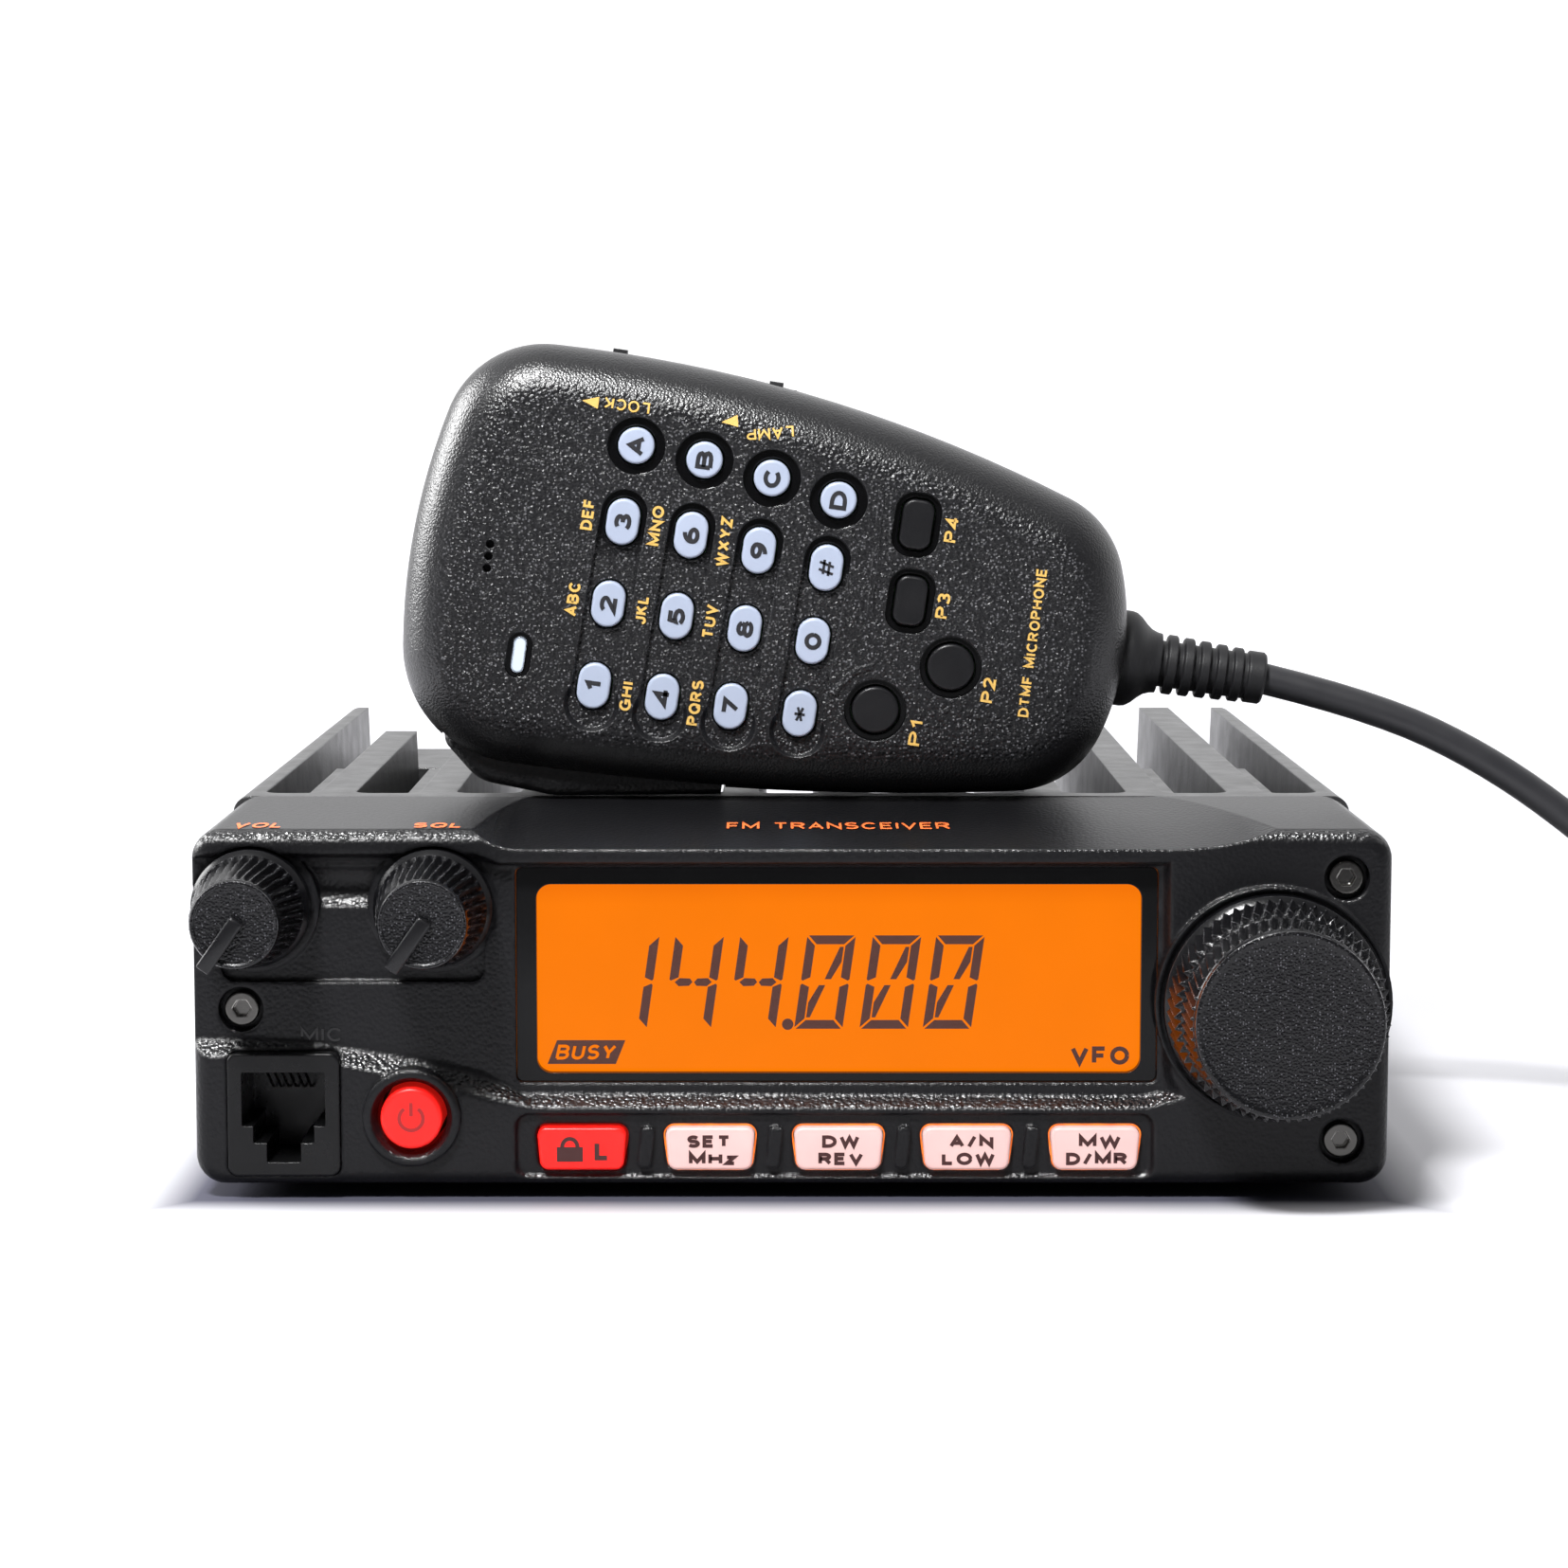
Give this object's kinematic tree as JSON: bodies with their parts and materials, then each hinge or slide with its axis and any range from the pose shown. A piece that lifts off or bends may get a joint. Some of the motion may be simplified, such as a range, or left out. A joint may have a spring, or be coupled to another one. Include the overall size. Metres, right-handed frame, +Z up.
{
  "type": "mobile transceiver",
  "caption": "Compact mobile two-way radio with finned heat-sink body, amber display, rotary controls and a keypad hand microphone resting on top.",
  "frame": {"origin": "on the ground, under the middle of the radio and the microphone that stands on it", "axes": "+X to the operator's right, +Y from the front panel to the rear fins, +Z up"},
  "size_m": [0.2703, 0.221, 0.1144],
  "materials": {
    "die_cast": "satin black paint over a fine cast texture",
    "cover_steel": "satin black paint",
    "black_screw": "black oxide",
    "panel_plastic": "fine moulded texture, semi-matt",
    "window_black": "polished",
    "amber_display": "back-lit amber",
    "circuit_board": "solder resist",
    "control_body": "dull plated",
    "socket_plastic": "smooth",
    "module_plastic": "moulded",
    "speaker_steel": "satin",
    "nickel": "nickel plate",
    "black_rubber": "matt",
    "knob_plastic": "textured faces",
    "red_button": "translucent, lit",
    "lit_button": "translucent, lit",
    "case_plastic": "coarse leather grain",
    "capsule_aluminium": "drawn",
    "led_plastic": "frosted",
    "bright_screw": "zinc plate",
    "lever_plastic": "fine grain",
    "slider_plastic": "smooth",
    "key_white": "pale translucent silicone",
    "key_black": "matt silicone",
    "cord_rubber": "smooth sheath",
    "plug_plastic": "clear polycarbonate"
  },
  "bodies": {
    "radio": {"antenna_socket": "nickel", "bottom_cover": "cover_steel", "chassis": "die_cast", "cord_coil": "cord_rubber", "cord_plug": "plug_plastic", "cover_screws": "black_screw", "dc_grommet": "black_rubber", "dial_encoder": "control_body", "display_window": "window_black", "front_panel": "panel_plastic", "lcd_module": "amber_display", "main_board": "circuit_board", "mic_jack": "socket_plastic", "panel_board": "circuit_board", "panel_screws": "black_screw", "potentiometers": "control_body", "power_module": "module_plastic", "speaker": "speaker_steel", "speaker_jack": "nickel"},
    "microphone": {"mic_front_case": "case_plastic", "mic_back_case": "case_plastic", "mic_board": "circuit_board", "mic_capsule": "capsule_aluminium", "led_window": "led_plastic", "strain_relief": "black_rubber", "hang_stud": "nickel", "mic_screws": "bright_screw", "cord_lead": "cord_rubber"},
    "volume_knob": {"volume_knob": "knob_plastic"},
    "squelch_knob": {"squelch_knob": "knob_plastic"},
    "main_dial": {"main_dial": "knob_plastic"},
    "power_button": {"power_button": "red_button"},
    "lock_button": {"lock_button": "red_button"},
    "set_button": {"set_button": "lit_button"},
    "watch_button": {"watch_button": "lit_button"},
    "name_button": {"name_button": "lit_button"},
    "memory_button": {"memory_button": "lit_button"},
    "ptt_lever": {"ptt_lever": "lever_plastic"},
    "lock_slider": {"lock_slider": "slider_plastic"},
    "lamp_slider": {"lamp_slider": "slider_plastic"},
    "key_1": {"key_1": "key_white"},
    "key_2": {"key_2": "key_white"},
    "key_3": {"key_3": "key_white"},
    "key_4": {"key_4": "key_white"},
    "key_5": {"key_5": "key_white"},
    "key_6": {"key_6": "key_white"},
    "key_7": {"key_7": "key_white"},
    "key_8": {"key_8": "key_white"},
    "key_9": {"key_9": "key_white"},
    "key_0": {"key_0": "key_white"},
    "key_star": {"key_star": "key_white"},
    "key_hash": {"key_hash": "key_white"},
    "key_a": {"key_a": "key_white"},
    "key_b": {"key_b": "key_white"},
    "key_c": {"key_c": "key_white"},
    "key_d": {"key_d": "key_white"},
    "p1_key": {"p1_key": "key_black"},
    "p2_key": {"p2_key": "key_black"},
    "p3_key": {"p3_key": "key_black"},
    "p4_key": {"p4_key": "key_black"}
  },
  "joints": [
    {"name": "microphone_lift", "type": "slide", "parent": "radio", "child": "microphone", "axis": [0, 0, 1], "range_m": [0, 0.06]},
    {"name": "volume_turn", "type": "hinge", "parent": "radio", "child": "volume_knob", "pos_m": [-0.0721, -0.0925, 0.0395], "axis": [0, 1, 0], "range_deg": [0, 290]},
    {"name": "squelch_turn", "type": "hinge", "parent": "radio", "child": "squelch_knob", "pos_m": [-0.0478, -0.0925, 0.0395], "axis": [0, 1, 0], "range_deg": [0, 290]},
    {"name": "dial_turn", "type": "hinge", "parent": "radio", "child": "main_dial", "pos_m": [0.0642, -0.0925, 0.0268], "axis": [0, 1, 0], "continuous": true},
    {"name": "talk_lever", "type": "hinge", "parent": "microphone", "child": "ptt_lever", "pos_m": [-0.01139, -0.046, 0.05547], "axis": [0, 1, 0], "range_deg": [0, 2.2], "stiffness_Nm_per_rad": 1.2},
    {"name": "power_press", "type": "slide", "parent": "radio", "child": "power_button", "axis": [0, 1, 0], "range_m": [0, 0.0008], "stiffness_N_per_m": 1200},
    {"name": "lock_press", "type": "slide", "parent": "radio", "child": "lock_button", "axis": [0, 1, 0], "range_m": [0, 0.0008], "stiffness_N_per_m": 1200},
    {"name": "set_press", "type": "slide", "parent": "radio", "child": "set_button", "axis": [0, 1, 0], "range_m": [0, 0.0008], "stiffness_N_per_m": 1200},
    {"name": "watch_press", "type": "slide", "parent": "radio", "child": "watch_button", "axis": [0, 1, 0], "range_m": [0, 0.0008], "stiffness_N_per_m": 1200},
    {"name": "name_press", "type": "slide", "parent": "radio", "child": "name_button", "axis": [0, 1, 0], "range_m": [0, 0.0008], "stiffness_N_per_m": 1200},
    {"name": "memory_press", "type": "slide", "parent": "radio", "child": "memory_button", "axis": [0, 1, 0], "range_m": [0, 0.0008], "stiffness_N_per_m": 1200},
    {"name": "key_1_press", "type": "slide", "parent": "microphone", "child": "key_1", "axis": [0, 1, 0], "range_m": [0, 0.0007], "stiffness_N_per_m": 900},
    {"name": "key_2_press", "type": "slide", "parent": "microphone", "child": "key_2", "axis": [0, 1, 0], "range_m": [0, 0.0007], "stiffness_N_per_m": 900},
    {"name": "key_3_press", "type": "slide", "parent": "microphone", "child": "key_3", "axis": [0, 1, 0], "range_m": [0, 0.0007], "stiffness_N_per_m": 900},
    {"name": "key_4_press", "type": "slide", "parent": "microphone", "child": "key_4", "axis": [0, 1, 0], "range_m": [0, 0.0007], "stiffness_N_per_m": 900},
    {"name": "key_5_press", "type": "slide", "parent": "microphone", "child": "key_5", "axis": [0, 1, 0], "range_m": [0, 0.0007], "stiffness_N_per_m": 900},
    {"name": "key_6_press", "type": "slide", "parent": "microphone", "child": "key_6", "axis": [0, 1, 0], "range_m": [0, 0.0007], "stiffness_N_per_m": 900},
    {"name": "key_7_press", "type": "slide", "parent": "microphone", "child": "key_7", "axis": [0, 1, 0], "range_m": [0, 0.0007], "stiffness_N_per_m": 900},
    {"name": "key_8_press", "type": "slide", "parent": "microphone", "child": "key_8", "axis": [0, 1, 0], "range_m": [0, 0.0007], "stiffness_N_per_m": 900},
    {"name": "key_9_press", "type": "slide", "parent": "microphone", "child": "key_9", "axis": [0, 1, 0], "range_m": [0, 0.0007], "stiffness_N_per_m": 900},
    {"name": "key_0_press", "type": "slide", "parent": "microphone", "child": "key_0", "axis": [0, 1, 0], "range_m": [0, 0.0007], "stiffness_N_per_m": 900},
    {"name": "key_star_press", "type": "slide", "parent": "microphone", "child": "key_star", "axis": [0, 1, 0], "range_m": [0, 0.0007], "stiffness_N_per_m": 900},
    {"name": "key_hash_press", "type": "slide", "parent": "microphone", "child": "key_hash", "axis": [0, 1, 0], "range_m": [0, 0.0007], "stiffness_N_per_m": 900},
    {"name": "key_a_press", "type": "slide", "parent": "microphone", "child": "key_a", "axis": [0, 1, 0], "range_m": [0, 0.0007], "stiffness_N_per_m": 900},
    {"name": "key_b_press", "type": "slide", "parent": "microphone", "child": "key_b", "axis": [0, 1, 0], "range_m": [0, 0.0007], "stiffness_N_per_m": 900},
    {"name": "key_c_press", "type": "slide", "parent": "microphone", "child": "key_c", "axis": [0, 1, 0], "range_m": [0, 0.0007], "stiffness_N_per_m": 900},
    {"name": "key_d_press", "type": "slide", "parent": "microphone", "child": "key_d", "axis": [0, 1, 0], "range_m": [0, 0.0007], "stiffness_N_per_m": 900},
    {"name": "p1_key_press", "type": "slide", "parent": "microphone", "child": "p1_key", "axis": [0, 1, 0], "range_m": [0, 0.0007], "stiffness_N_per_m": 900},
    {"name": "p2_key_press", "type": "slide", "parent": "microphone", "child": "p2_key", "axis": [0, 1, 0], "range_m": [0, 0.0007], "stiffness_N_per_m": 900},
    {"name": "p3_key_press", "type": "slide", "parent": "microphone", "child": "p3_key", "axis": [0, 1, 0], "range_m": [0, 0.0007], "stiffness_N_per_m": 900},
    {"name": "p4_key_press", "type": "slide", "parent": "microphone", "child": "p4_key", "axis": [0, 1, 0], "range_m": [0, 0.0007], "stiffness_N_per_m": 900},
    {"name": "lock_slider_move", "type": "slide", "parent": "microphone", "child": "lock_slider", "axis": [-0.9893, 0, 0.1461], "range_m": [0, 0.0025]},
    {"name": "lamp_slider_move", "type": "slide", "parent": "microphone", "child": "lamp_slider", "axis": [-0.9893, 0, 0.1461], "range_m": [0, 0.0025]}
  ]
}
